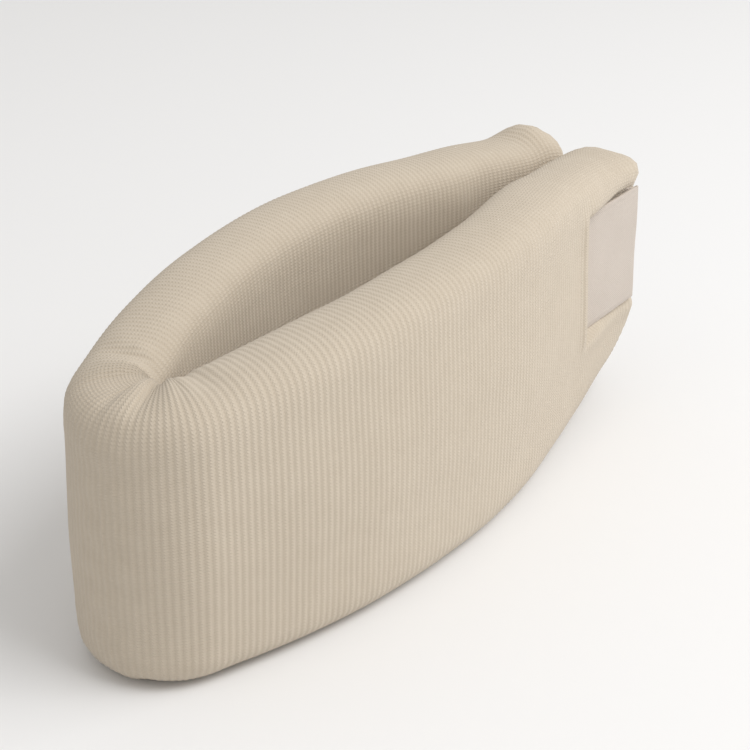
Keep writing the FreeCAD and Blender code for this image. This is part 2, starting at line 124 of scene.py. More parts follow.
def lower_edge(x):
    """Height of the strip's lower edge: level at the chin, then rising to a large corner."""
    level, rise, corner = 115.0, 700.0, 24.0
    corner_x = REACH - corner
    corner_z = rise - math.sqrt((rise - corner) ** 2 - (corner_x - level) ** 2)
    slope = rise - np.sqrt(rise**2 - np.clip(x - level, 0, None) ** 2)
    rounded = corner_z - np.sqrt(np.maximum(corner**2 - np.clip(x - corner_x, 0, corner) ** 2, 0))
    meet_x = level + (corner_x - level) * rise / (rise - corner)
    return np.where(x < meet_x, slope, rounded)


def wrap(step, around, inset=0.0):
    """Places of a sleeve's cloth round the strip, as rows along it by columns round it, in mm."""
    stations, along = strip_stations(step)
    inner, outer = stations[:, 0], stations[:, 1]
    rim, end_round = 10.0, 6.0              # height of the domed rim, rounding of the closure end
    squareness = 0.8                        # of the dome: 1 is a half circle
    face_count, rim_count = round(around * 0.39), round(around * 0.11)
    turn = np.linspace(0, np.pi, rim_count, endpoint=False)
    dome_side = np.sign(np.cos(turn)) * np.abs(np.cos(turn)) ** squareness
    dome_rise = np.abs(np.sin(turn)) ** squareness
    face = np.linspace(0, 1, face_count, endpoint=False)
    # side is +1 on the outer face and -1 on the inner, share is how far up the face, and rise how
    # far up the dome of the upper rim (+) or down that of the lower rim (-).
    side = np.concatenate([np.ones(face_count), dome_side, -np.ones(face_count), -dome_side])
    share = np.concatenate([face, np.ones(rim_count), 1 - face, np.zeros(rim_count)])
    rise = np.concatenate([np.zeros(face_count), dome_rise, np.zeros(face_count), -dome_rise])
    side, share, rise = (np.append(a, a[0]) for a in (side, share, rise))

    middle, reach = (inner + outer) / 2, (outer - inner) / 2
    full = np.linalg.norm(reach, axis=1)
    out = np.clip(middle[:, 0] - (REACH - end_round), 0, end_round)
    taper = (full - end_round + np.sqrt(np.maximum(end_round**2 - out**2, 0)) - inset) / full
    plan = middle[:, None] + reach[:, None] * (taper[:, None] * side[None])[..., None]
    x, y = plan[..., 0], plan[..., 1]
    # The inner faces lean away from each other until just short of the closure's end.
    lean = LEAN * (0.5 + 0.5 * np.tanh((x - LEAN_FROM) / 10)) * np.clip((LEAN_TO - x) / 50, 0, 1)
    y = y + np.sign(y) * lean * (1 - np.clip(np.abs(y) / 26.5, 0, 1))
    at = np.clip(x, 0, REACH)
    top, bottom = upper_edge(at) - inset, lower_edge(at) + inset
    dome = np.minimum(rim, (top - bottom) / 2.2)
    z = bottom + dome + share * (top - bottom - 2 * dome) + rise * dome
    return np.stack([x, y, z], -1), along


def outward(grid):
    """Unit normals of a wrapped sleeve, pointing away from the foam."""
    along = np.gradient(grid, axis=0)
    columns = np.concatenate([grid[:, -2:-1], grid, grid[:, 1:2]], axis=1)
    around = (columns[:, 2:] - columns[:, :-2]) / 2
    normal = np.cross(around, along)
    return normal / np.maximum(np.linalg.norm(normal, axis=-1, keepdims=True), 1e-9)


def sleeve(name, grid, along):
    """A cloth grid with one cell per step, rolled round the strip and sewn along its edges."""
    rows, columns = grid.shape[:2]
    bpy.ops.object.select_all(action="DESELECT")
    bpy.ops.mesh.primitive_grid_add(x_subdivisions=rows - 1, y_subdivisions=columns - 1, size=1)
    piece = bpy.context.object
    piece.name = piece.data.name = name
    flat = np.empty(len(piece.data.vertices) * 3)
    piece.data.vertices.foreach_get("co", flat)
    flat = flat.reshape(-1, 3)
    row = np.rint((flat[:, 0] + 0.5) * (rows - 1)).astype(int)
    column = np.rint((flat[:, 1] + 0.5) * (columns - 1)).astype(int)
    placed = grid[row, column] * MM + np.array((CHIN, 0, 0))
    piece.data.vertices.foreach_set("co", placed.ravel())

    # The cloth's own flat measures: along the strip from the chin, and round the strip.
    girth = np.linalg.norm(np.diff(grid[rows // 4], axis=0), axis=1)
    around = np.concatenate([[0], np.cumsum(girth)])
    corner_of = np.empty(len(piece.data.loops), int)
    piece.data.loops.foreach_get("vertex_index", corner_of)
    cloth = np.stack([along[row[corner_of]], around[column[corner_of]]], -1) * MM
    piece.data.uv_layers[0].name = "cloth"
    piece.data.uv_layers["cloth"].data.foreach_set("uv", cloth.ravel())

    bpy.ops.object.mode_set(mode="EDIT")
    bpy.ops.mesh.select_all(action="SELECT")
    bpy.ops.mesh.remove_doubles(threshold=0.00002)
    bpy.ops.mesh.select_all(action="DESELECT")
    bpy.ops.mesh.select_non_manifold(extend=False, use_multi_face=False, use_non_contiguous=False,
                                     use_verts=False)
    bpy.ops.mesh.fill()
    bpy.ops.mesh.select_all(action="SELECT")
    bpy.ops.mesh.normals_make_consistent(inside=False)
    bpy.ops.mesh.select_all(action="DESELECT")
    bpy.ops.object.mode_set(mode="OBJECT")
    bpy.ops.object.shade_smooth()
    return piece


class Socket:
    """A node's output, so that shader maths can be written as Python expressions."""

    def __init__(self, tree, link):
        self.tree, self.link = tree, link

    def node(self, kind, inputs=(), out=0, **settings):
        """Adds a node of that kind; inputs are names or numbers of sockets with values or links."""
        made = self.tree.nodes.new(kind)
        for key, value in settings.items():
            setattr(made, key, value)
        for key, value in dict(inputs).items():
            if isinstance(value, Socket):
                self.tree.links.new(value.link, made.inputs[key])
            else:
                made.inputs[key].default_value = value
        return Socket(self.tree, made.outputs[out])

    def maths(self, operation, *values):
        return self.node("ShaderNodeMath", enumerate(values), operation=operation)

    def __add__(self, other): return self.maths("ADD", self, other)
    def __radd__(self, other): return self.maths("ADD", other, self)
    def __sub__(self, other): return self.maths("SUBTRACT", self, other)
    def __rsub__(self, other): return self.maths("SUBTRACT", other, self)
    def __mul__(self, other): return self.maths("MULTIPLY", self, other)
    def __truediv__(self, other): return self.maths("DIVIDE", self, other)

    def sine(self): return self.maths("SINE", self)
    def size(self): return self.maths("ABSOLUTE", self)
    def part(self): return self.maths("FRACT", self)

    def over(self, low, high):
        """0 up to low, 1 from high on, and smooth between them."""
        return self.node(
            "ShaderNodeMapRange", {0: self, 1: low, 2: high}, interpolation_type="SMOOTHSTEP"
        )

    def tint(self, low, high):
        """A colour from low to high as this value goes from 0 to 1."""
        return self.node(
            "ShaderNodeMix", {0: self, 6: (*low, 1), 7: (*high, 1)}, out=2, data_type="RGBA"
        )


def finish_for(piece, name):
    """A new material on the piece: its tree, its shader, and a socket to start expressions from."""
    material = bpy.data.materials.new(name)
    material.use_nodes = True
    tree = material.node_tree
    shader = tree.nodes["Principled BSDF"]
    piece.data.materials.clear()
    piece.data.materials.append(material)
    return tree, shader, Socket(tree, None)


def drive(tree, shader, colour, roughness, height, depth):
    """Feeds the shader a colour, a roughness and a bump of that depth in metres."""
    tree.links.new(colour.link, shader.inputs["Base Color"])
    tree.links.new(roughness.link, shader.inputs["Roughness"])
    bump = height.node("ShaderNodeBump", {"Height": height, "Distance": depth, "Strength": 1.0})
    tree.links.new(bump.link, shader.inputs["Normal"])


# The foam is pressed in where the strap lies over it, and stops short of the sewn ends.
PRESSED_FROM, PRESSED_HALF, FOAM_END = 198, 25.2, 248.6
foam_grid, foam_along = wrap(5.0, 60, inset=SLEEVE_DEPTH)
foam_x, foam_y = foam_grid[..., 0], foam_grid[..., 1]
pressed_in = np.clip(foam_y, -PRESSED_HALF, PRESSED_HALF)
foam_grid[..., 1] = np.where(foam_x > PRESSED_FROM, pressed_in, foam_y)
foam_grid[..., 0] = np.minimum(foam_x, FOAM_END)
foam = sleeve("foam_core", foam_grid, foam_along)
tree, shader, start = finish_for(foam, "open_cell_foam")
place = start.node("ShaderNodeTexCoord", out=3)
cells = start.node("ShaderNodeTexVoronoi", {"Vector": place, "Scale": 900.0}, feature="F1")
clouds = start.node("ShaderNodeTexNoise", {"Vector": place, "Scale": 40.0, "Detail": 3.0})
foam_tone = cells * 0.6 + clouds * 0.4
drive(tree, shader, foam_tone.tint((0.50, 0.46, 0.34), (0.76, 0.72, 0.58)), 0.95 - cells * 0.1,
      cells, 0.0004)
shader.inputs["Specular IOR Level"].default_value = 0.2
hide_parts("foam_core_front", "foam_core_rear")
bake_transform(foam)

# ------------------------------------------------------------------ knitted sleeve
# A tube of ribbed cotton stockinette pulled over the foam. Its ribs run round the strip, it bunches
# into a pinch above the chin crease, and the strap presses a shallow bed into it at the closure.

RIB = 2.2                                   # rib pitch, four rows of the sleeve's mesh
RIB_RISE = 0.085                            # half the height of a rib
COURSE = 0.00105                            # pitch of the knit's courses along a rib, in metres
BED_FACE = 26.75                            # the flat that the pad and the strap's sewn end lie on
PINCH_CREASES = (                           # direction round the crease, depth and reach
    (-0.85, 0.8, 17), (-0.30, 1.1, 21), (0.12, 0.9, 24), (0.62, 0.8, 19),
)


def flat_place(tree, start, uv_map):
    """Both coordinates of a UV map, as sockets."""
    split = start.node("ShaderNodeSeparateXYZ", {0: start.node("ShaderNodeUVMap", uv_map=uv_map)})
    return split, Socket(tree, split.link.node.outputs[1])


def near(value, at, width):
    """A soft bump, 1 at the place and falling off over the width."""
    return np.exp(-(((value - at) / width) ** 2))


def step_up(value, at, width):
    """0 below the place, 1 above it, with a soft edge of that width."""
    return 0.5 + 0.5 * np.tanh((value - at) / width)


def waves(grid, size, seed):
    """Smooth random unevenness between about -1 and 1, with features of that size in mm."""
    flat = grid.reshape(-1, 3) / size + seed
    return np.array([noise.noise(Vector(p)) for p in flat]).reshape(grid.shape[:2]) * 1.6


def lifts(grid, along):
    """The sleeve's ribs, folds and dents, in mm along the outward direction."""
    x, y, z = grid[..., 0], grid[..., 1], grid[..., 2]
    normal = outward(grid)
    face_up, sideways = normal[..., 2], np.abs(normal[..., 1])
    from_crease = np.hypot(x - CREASE, y)
    free = np.clip((from_crease - 1.5) / 7, 0, 1)
    lift = free * (0.5 * waves(grid, 70, 3.1) + 0.2 * waves(grid, 24, 8.7))
    lift += RIB_RISE * free * np.cos(2 * math.pi * along / RIB)[:, None]

    # Faces crown a little between the rims and swell just short of the strap, and the foam's cut
    # edges show as faint lengthwise lines.
    crown = np.clip((z - 8) / 30, 0, 1) * np.clip((84 - z) / 30, 0, 1)
    lift += 1.0 * crown * np.clip(sideways, 0, 1) * (np.abs(y) > 2.5)
    lift += 2.2 * near(x, 209, 24) * sideways * (np.abs(y) > 16)
    high_line = upper_edge(np.clip(x, 0, REACH)) - 13
    low_line = lower_edge(np.clip(x, 0, REACH)) + 15
    lift += 0.16 * (near(z, high_line, 1.5) + near(z, low_line, 1.5)) * sideways

    # Pinch above the chin crease: a notch, with short folds and finer creases that fan out from it.
    dx = x - CREASE - 3
    far = np.hypot(dx, y)
    fan = np.arctan2(y, -dx)
    folds = np.cos(fan * 7 + 0.9 * np.sin(fan * 3 + 0.7)) * near(far, 13, 9)
    lift += 1.0 * folds * np.abs(face_up) * step_up(-dx, -2, 5)
    lift -= 3.4 * near(far, 0, 5.0) * np.abs(face_up)
    for direction, depth, reach in PINCH_CREASES:
        crease_line = near(fan, direction, 0.085) * near(far, 4 + reach / 2, reach / 2)
        lift -= depth * crease_line * np.abs(face_up)

    # Gathers that run down the inner flanks from the crease.
    flank = near(np.abs(y), 4, 4) * step_up(62 - x, 0, 8) * free
    lift += 0.3 * flank * np.sin(z * 0.55 + 1.2 * np.sin(x * 0.21))

    # A lip of cloth stands up round the strap's free end, and a lower one round its sewn end.
    front, rear = (y < -18) * 1.0, (y > 18) * 1.0
    level = step_up(z, 34.0, 2.0) * step_up(-z, -80.0, 2.0)
    beside = 0.5 * near(z, 32.2, 3.0) + near(z, 81.6, 3.8)
    lift += front * (1.15 * near(x, 201.3, 2.2) * level + 1.8 * beside * step_up(x, 206, 4))
    lift += rear * (0.6 * near(x, 210.6, 2.4) * level + 0.3 * beside * step_up(x, 212, 3))

    # Pleats where each end of the tube is gathered into its hem.
    pleat = np.cos(11 * np.arctan2(z - 59.5, np.abs(y) - 13.5)) * step_up(x, 247.5, 1.5)
    lift += 0.35 * pleat
    return lift


def dressed(grid, along):
    """The wrapped sleeve with its folds, its beds for the strap and its ear at the rear corner."""
    placed = grid + outward(grid) * lifts(grid, along)[..., None]
    x, y, z = grid[..., 0], grid[..., 1], grid[..., 2]

    start = np.where(y < 0, 203.8, 212.8)
    under = step_up(x, start, 0.7) * step_up(z, 35.6, 0.6) * step_up(-z, -78.2, 0.6)
    pressed = np.clip(placed[..., 1], -BED_FACE, BED_FACE)
    placed[..., 1] += under * (pressed - placed[..., 1])

    # The strap pulls the closure end in, so the foam swells above and below it.
    swell = near(z, 86, 7) * 3.2 + near(z, 29, 5) * 1.6
    placed[..., 0] += swell * step_up(x, 246, 3)

    # Spare knit caught in the rear end's upper corner stands up as an ear, with a tuck beside it.
    high = step_up(z, 78, 2.2)
    peak = near(x, 241.0, 7.0) * near(y, 13, 10.0) * high
    tuck = near(x, 249.5 - 0.35 * (y - 8), 1.6) * near(y, 8, 6) * high
    placed[..., 2] += 4.6 * peak - 2.6 * tuck
    placed[..., 0] += 0.8 * peak

    # The two halves lie against each other but never cross.
    apart = (x > CREASE) | (np.abs(y) > PRESSED_GAP)
    side = np.where(y < 0, -1.0, 1.0)
    kept = side * np.maximum(side * placed[..., 1], PRESSED_GAP + 0.02)
    placed[..., 1] = np.where(apart, kept, placed[..., 1])
    placed[..., 2] = np.maximum(placed[..., 2], 0.0)
    placed[:, -1] = placed[:, 0]
    return placed


cover_grid, cover_along = wrap(RIB / 4, 96)
cover = sleeve("knitted_cover", dressed(cover_grid, cover_along), cover_along)
tree, shader, start = finish_for(cover, "ribbed_stockinette")
u, v = flat_place(tree, start, "cloth")
place = start.node("ShaderNodeTexCoord", out=3)
rib = (u / (RIB * MM) * (2 * math.pi) + math.pi / 2).sine() * 0.5 + 0.5      # 1 along a rib's crest
leg = (u / (RIB * MM) * 2 + 0.25).part() - 0.5
course = ((v / COURSE + leg.size() * 0.8) * (2 * math.pi)).sine() * 0.5 + 0.5
fuzz = start.node("ShaderNodeTexNoise", {"Vector": place, "Scale": 2400.0, "Detail": 2.0})
soft = start.node("ShaderNodeTexNoise", {"Vector": place, "Scale": 11.0, "Detail": 4.0})
slub = start.node("ShaderNodeTexNoise", {"Vector": place, "Scale": 160.0, "Detail": 3.0})
relief = rib * 0.2 + course * (0.22 + rib * 0.25) + fuzz * 0.34
# The rib term in this colour darkens the cloth in the valleys between ribs and lightens it on their
# crests: painted shade in the rib valleys.
tone = rib * 0.18 + course * 0.07 + fuzz * 0.18 + soft * 0.32 + slub * 0.25
drive(tree, shader, tone.tint((0.45, 0.377, 0.287), (0.65, 0.573, 0.472)), 0.97 - rib * 0.06,
      relief, 0.00028)
shader.inputs["Specular IOR Level"].default_value = 0.22
shader.inputs["Sheen Weight"].default_value = 0.15
shader.inputs["Sheen Roughness"].default_value = 0.6
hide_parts("cover_front", "cover_rear")
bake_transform(cover)

# ------------------------------------------------------------------ sewn ends
# Each end of the knitted tube is gathered into a flat upright hem, 25 high, and overlocked, with
# loops of thread over the hem's free edge. Both hems show at the closure end.

HEM_LOW, HEM_HIGH = 47.0, 72.0
HEM_WIDE, HEM_PROUD = 2.6, 0.9
HEM_ROOT = 1.5                              # how far the hem starts inside the sleeve
HEM_MIDDLE = 13.5                           # from the plane between the halves
OVERLOCK, OVERLOCK_IN = 2.3, 0.7            # pitch of the overlocking, and its set-back


def at(x, y, z):
    """A place given in mm from the chin fold, as the frame has it."""
    return Vector((CHIN + x * MM, y * MM, z * MM))


def brick(name, low, high):
    """A box between two corners given in mm, with its place in its mesh."""
    bpy.ops.object.select_all(action="DESELECT")
    bpy.ops.mesh.primitive_cube_add(size=1, location=(at(*low) + at(*high)) / 2)
    piece = bpy.context.object
    piece.name = piece.data.name = name
    piece.scale = at(*high) - at(*low)
    bpy.ops.object.transform_apply(location=True, rotation=True, scale=True)
    return piece


def edges_like(piece, test):
    """In edit mode, leaves selected only the edges whose two ends pass the test."""
    mesh = bmesh.from_edit_mesh(piece.data)
    bpy.ops.mesh.select_mode(type="EDGE")
    bpy.ops.mesh.select_all(action="DESELECT")
    for edge in mesh.edges:
        edge.select_set(test(edge.verts[0].co, edge.verts[1].co))
    bmesh.update_edit_mesh(piece.data)


def runs_along(axis):
    """A test for edges that run along the axis (0, 1 or 2)."""
    return lambda a, b: abs((b - a).normalized()[axis]) > 0.99


def modified(piece, kind, **settings):
    """Adds a modifier with those settings and applies it."""
    bpy.ops.object.select_all(action="DESELECT")
    piece.select_set(True)
    bpy.context.view_layer.objects.active = piece
    modifier = piece.modifiers.new(kind.lower(), kind)
    for key, value in settings.items():
        setattr(modifier, key, value)
    bpy.ops.object.modifier_apply(modifier=modifier.name)


def set_out(model, name, placings):
    """Copies the model to every placing, with a mesh for each, and joins them as one piece."""
    bpy.ops.object.select_all(action="DESELECT")
    for placing in placings:
        twin = model.copy()
        twin.data = model.data.copy()
        twin.data.transform(placing)
        bpy.context.collection.objects.link(twin)
        twin.select_set(True)
        bpy.context.view_layer.objects.active = twin
    bpy.ops.object.join()
    piece = bpy.context.object
    piece.name = piece.data.name = name
    bpy.data.objects.remove(model)
    bpy.ops.object.shade_smooth()
    return piece


def thread_finish(piece, name):
    """Spun polyester thread: fine slanting plies in warm beige."""
    tree, shader, start = finish_for(piece, name)
    place = start.node("ShaderNodeTexCoord", out=3)
    ply = start.node("ShaderNodeTexWave", {"Vector": place, "Scale": 900.0, "Distortion": 1.5},
                     out=1, bands_direction="DIAGONAL")
    patch = start.node("ShaderNodeTexNoise", {"Vector": place, "Scale": 150.0, "Detail": 2.0})
    tone = ply * 0.6 + patch * 0.4
    drive(tree, shader, tone.tint((0.52, 0.45, 0.37), (0.74, 0.68, 0.60)), 0.7 - ply * 0.15,
          ply, 0.0001)
    shader.inputs["Sheen Weight"].default_value = 0.1


for half, side in (("front", -1), ("rear", 1)):
    middle = side * HEM_MIDDLE
    hem = brick("end_hem_" + half, (REACH - HEM_ROOT, middle - HEM_WIDE / 2, HEM_LOW),
                (REACH + HEM_PROUD, middle + HEM_WIDE / 2, HEM_HIGH))
    bpy.ops.object.mode_set(mode="EDIT")
    edges_like(hem, runs_along(2))
    bpy.ops.mesh.subdivide(number_cuts=15)
    edges_like(hem, runs_along(0))
    bpy.ops.mesh.subdivide(number_cuts=2)
    bpy.ops.mesh.select_all(action="SELECT")
    bpy.ops.transform.vertex_random(offset=0.0003, seed=4 + side)
    bpy.ops.mesh.vertices_smooth(factor=0.4, repeat=1)
    bpy.ops.object.mode_set(mode="OBJECT")
    modified(hem, "SUBSURF", levels=2, render_levels=2)
    bpy.ops.object.shade_smooth()
    tree, shader, start = finish_for(hem, "gathered_knit_" + half)
    place = start.node("ShaderNodeTexCoord", out=3)
    pleats = start.node("ShaderNodeTexWave", {"Vector": place, "Scale": 170.0, "Distortion": 2.0},
                        out=1, bands_direction="Z")
    fuzz = start.node("ShaderNodeTexNoise", {"Vector": place, "Scale": 2400.0, "Detail": 2.0})
    # The pleat bands in this colour darken the gathered knit in the folds between pleats and lighten
    # it on their crests: painted shade in the pleat folds.
    tone = pleats * 0.6 + fuzz * 0.4
    drive(tree, shader, tone.tint((0.47, 0.39, 0.29), (0.71, 0.62, 0.50)), 0.97 - fuzz * 0.05,
          pleats * 0.7 + fuzz * 0.3, 0.0004)
    shader.inputs["Sheen Weight"].default_value = 0.15
    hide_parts("end_seam_" + half)
    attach(hem, half + "_half")

    bpy.ops.object.select_all(action="DESELECT")
    bpy.ops.mesh.primitive_torus_add(major_segments=16, minor_segments=6, major_radius=1.75 * MM,
                                     minor_radius=0.27 * MM)
    loop = bpy.context.object
    bpy.ops.object.mode_set(mode="EDIT")
    bpy.ops.transform.resize(value=(1.1, 0.95, 1.0))
    bpy.ops.object.mode_set(mode="OBJECT")
    placings = []
    for number, z in enumerate(np.arange(HEM_LOW + 1.8, HEM_HIGH - 1.2, OVERLOCK)):
        tilt = math.radians(16 if number % 2 else -12)
        over_edge = Matrix.Translation(at(REACH - OVERLOCK_IN, middle, z))
        placings.append(over_edge @ Matrix.Rotation(tilt, 4, "X"))
    overlock = set_out(loop, "end_thread_" + half, placings)
    thread_finish(overlock, "overlock_thread_" + half)
    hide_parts("end_seam_thread_" + half)
    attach(overlock, half + "_half")

# ------------------------------------------------------------------ loop pad
# A patch of brushed loop tape, 32 by 37, sewn to the front half's outer face near the closure: a
# woven backing, a pile of tiny nylon loops, and one line of lockstitch round its border.

PAD_LEFT, PAD_RIGHT, PAD_LOW, PAD_HIGH = 209.0, 241.0, 38.5, 75.5
PAD_FACE = -27.55                           # outer face of the backing
LOOP_PITCH = 1.35
STITCH = 2.9                                # pitch of the lockstitch
STITCH_INSET = 1.5

backing = brick("loop_tape_pad", (PAD_LEFT, PAD_FACE, PAD_LOW),
                (PAD_RIGHT, -BED_FACE + 0.25, PAD_HIGH))
bpy.ops.object.mode_set(mode="EDIT")
edges_like(backing, runs_along(1))
bpy.ops.mesh.bevel(offset=1.5 * MM, segments=4)
bpy.ops.object.mode_set(mode="OBJECT")
modified(backing, "BEVEL", width=0.2 * MM, segments=2, limit_method="ANGLE",
         angle_limit=math.radians(40))

bpy.ops.object.select_all(action="DESELECT")
bpy.ops.mesh.primitive_torus_add(major_segments=9, minor_segments=4, major_radius=0.42 * MM,
                                 minor_radius=0.08 * MM)
loop = bpy.context.object
bpy.ops.object.mode_set(mode="EDIT")
bpy.ops.transform.resize(value=(1.25, 1.0, 1.0))
bpy.ops.object.mode_set(mode="OBJECT")
chance = np.random.default_rng(21)
placings = []
for x in np.arange(PAD_LEFT + 2.6, PAD_RIGHT - 2.4, LOOP_PITCH):
    for z in np.arange(PAD_LOW + 2.6, PAD_HIGH - 2.4, LOOP_PITCH):
        dx, dz, spin, lean = chance.uniform(-1, 1, 4)
        upright = Matrix.Rotation(spin * math.pi, 4, "Y") @ Matrix.Rotation(lean * 0.4, 4, "X")
        root = at(x + dx * 0.3, PAD_FACE - 0.05, z + dz * 0.3)
        placings.append(Matrix.Translation(root) @ upright)
pile = set_out(loop, "loop_pile", placings)

for piece, name in ((backing, "loop_tape_backing"), (pile, "brushed_loops")):
    tree, shader, start = finish_for(piece, name)
    place = start.node("ShaderNodeTexCoord", out=3)
    fuzz = start.node("ShaderNodeTexNoise", {"Vector": place, "Scale": 1500.0, "Detail": 3.0})
    patch = start.node("ShaderNodeTexNoise", {"Vector": place, "Scale": 120.0, "Detail": 2.0})
    tone = fuzz * 0.55 + patch * 0.45
    drive(tree, shader, tone.tint((0.56, 0.49, 0.42), (0.80, 0.74, 0.67)), 0.9 - fuzz * 0.15,
          fuzz, 0.0003)
    shader.inputs["Sheen Weight"].default_value = 0.25
    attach(piece, "front_half")
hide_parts("loop_pad")


def lockstitch(name, left, right, low, high, face):
    """One line of stitches round a rectangle on an upright face, each a short bar of thread."""
    bpy.ops.object.select_all(action="DESELECT")
    bpy.ops.mesh.primitive_uv_sphere_add(segments=10, ring_count=6, radius=1 * MM)
    stitch = bpy.context.object
    bpy.ops.object.mode_set(mode="EDIT")
    bpy.ops.transform.resize(value=(1.18, 0.24, 0.28))
    bpy.ops.object.mode_set(mode="OBJECT")
    left, right, low, high = (left + STITCH_INSET, right - STITCH_INSET, low + STITCH_INSET,
                              high - STITCH_INSET)
    corners = [(left, low), (right, low), (right, high), (left, high)]
    placings = []
    for (x0, z0), (x1, z1) in zip(corners, corners[1:] + corners[:1]):
        count = round(math.hypot(x1 - x0, z1 - z0) / STITCH)
        lie = Matrix.Rotation(-math.atan2(z1 - z0, x1 - x0) + 0.06, 4, "Y")
        for share in (np.arange(count) + 0.5) / count:
            middle = at(x0 + share * (x1 - x0), face, z0 + share * (z1 - z0))
            placings.append(Matrix.Translation(middle) @ lie)
    piece = set_out(stitch, name, placings)
    thread_finish(piece, name + "_yarn")
    return piece


pad_thread = lockstitch("loop_pad_thread", PAD_LEFT, PAD_RIGHT, PAD_LOW, PAD_HIGH, PAD_FACE - 0.05)
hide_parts("loop_pad_stitching")
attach(pad_thread, "front_half")

# ------------------------------------------------------------------ hook strap
# A woven nylon tape, 41 wide, from a sewn end on the rear half to a pull tab over the loop pad. The
# real tape goes round both ends of the strip. Known fault: both turns here bend inwards, so the span
# crosses inside the foam.

TAPE = 0.9
TAPE_LOW, TAPE_HIGH = 36.5, 77.5
SEWN_START, SEWN_LENGTH = 214.0, 28.0
# Middle of the tape's thickness. The span would lie on SPAN_LINE if the turns bent outwards.
SEWN_LINE, SPAN_LINE, TAB_LINE = 27.4, 253.5, -28.8
REAR_TURN, FRONT_TURN = 6.5, 6.5
TAB_END = 205.0
TAB_CORNER, TAB_FLARE = 4.0, 0.8
TURN_STEPS, SPAN_STEPS, TAB_STEPS = 8, 20, 30
WARP, WEFT = 0.00075, 0.0009                # pitch of the weave's threads, in metres


def faces_like(piece, test):
    """In edit mode, leaves selected only the faces whose middle passes the test."""
    mesh = bmesh.from_edit_mesh(piece.data)
    bpy.ops.mesh.select_mode(type="FACE")
    bpy.ops.mesh.select_all(action="DESELECT")
    for face in mesh.faces:
        face.select_set(test(face.calc_center_median(), face.normal))
    bmesh.update_edit_mesh(piece.data)


def lengthen(step, count):
    """Extrudes the selected end of the tape by that step, that many times."""
    for _ in range(count):
        bpy.ops.mesh.extrude_region_move(TRANSFORM_OT_translate={"value": step})


strap = brick("hook_strap", (SEWN_START, SEWN_LINE - TAPE / 2, TAPE_LOW),
              (SPAN_LINE - REAR_TURN, SEWN_LINE + TAPE / 2, TAPE_HIGH))
bpy.ops.object.mode_set(mode="EDIT")
edges_like(strap, runs_along(0))
bpy.ops.mesh.subdivide(number_cuts=13)
edges_like(strap, runs_along(2))
bpy.ops.mesh.subdivide(number_cuts=15)
faces_like(strap, lambda middle, normal: normal.x > 0.9)
bpy.ops.mesh.spin(steps=TURN_STEPS, angle=-math.pi / 2, axis=(0, 0, 1),
                  center=at(SPAN_LINE - REAR_TURN, SEWN_LINE - REAR_TURN, 0))
span = SEWN_LINE - REAR_TURN - (TAB_LINE + FRONT_TURN)
lengthen((0, -span / SPAN_STEPS * MM, 0), SPAN_STEPS)
bpy.ops.mesh.spin(steps=TURN_STEPS, angle=-math.pi / 2, axis=(0, 0, 1),
                  center=at(SPAN_LINE - FRONT_TURN, TAB_LINE + FRONT_TURN, 0))
lengthen((-(SPAN_LINE - FRONT_TURN - TAB_END) / TAB_STEPS * MM, 0, 0), TAB_STEPS)
bpy.ops.mesh.select_all(action="SELECT")
bpy.ops.mesh.remove_doubles(threshold=0.00001)
bpy.ops.mesh.normals_make_consistent(inside=False)
bpy.ops.object.mode_set(mode="OBJECT")
modified(strap, "BEVEL", width=0.22 * MM, segments=2, limit_method="ANGLE",
         angle_limit=math.radians(50))
bpy.ops.object.shade_smooth_by_angle(angle=math.radians(60))

# The tab's corners are rounded, its free end is a little wider and it hugs the foam.
middle = (TAPE_LOW + TAPE_HIGH) / 2
for vertex in strap.data.vertices:
    x, y, z = (vertex.co.x - CHIN) / MM, vertex.co.y / MM, vertex.co.z / MM
    if y < 0 and x < SPAN_LINE - FRONT_TURN:
        from_end = max(x - TAB_END, 0)
        short = max(TAB_CORNER - from_end, 0)
        cut_back = TAB_CORNER - math.sqrt(TAB_CORNER**2 - short**2)
        share = (TAPE_HIGH - middle - cut_back) / (TAPE_HIGH - middle)
        flare = 1 + TAB_FLARE / 20 * max(1 - from_end / 45, 0)
        hug = 0.35 * near(x, TAB_END, 7) - 0.18 * math.sin(from_end / 47 * math.pi)
        vertex.co.z = (middle + (z - middle) * share * flare) * MM
        vertex.co.y = (y + hug + 0.12 * math.sin(z * 0.23 + x * 0.11)) * MM


def along_tape(x, y):
    """How far along from its sewn end the place (x, y) is, on a tape that goes round the ends."""
    sewn = SPAN_LINE - REAR_TURN - SEWN_START
    first, second = REAR_TURN * math.pi / 2, FRONT_TURN * math.pi / 2
    if y > SEWN_LINE - REAR_TURN:
        if x < SPAN_LINE - REAR_TURN:
            return x - SEWN_START
        return sewn + REAR_TURN * math.atan2(x - SPAN_LINE + REAR_TURN, y - SEWN_LINE + REAR_TURN)
    if y > TAB_LINE + FRONT_TURN:
        return sewn + first + SEWN_LINE - REAR_TURN - y
    if x > SPAN_LINE - FRONT_TURN:
        turned = math.atan2(TAB_LINE + FRONT_TURN - y, x - SPAN_LINE + FRONT_TURN)
        return sewn + first + span + FRONT_TURN * turned
    return sewn + first + span + second + SPAN_LINE - FRONT_TURN - x


weave_map = strap.data.uv_layers.get("tape") or strap.data.uv_layers.new(name="tape")
for corner in strap.data.loops:
    spot = strap.data.vertices[corner.vertex_index].co
    distance = along_tape((spot.x - CHIN) / MM, spot.y / MM)
    weave_map.data[corner.index].uv = (distance * MM, spot.z)

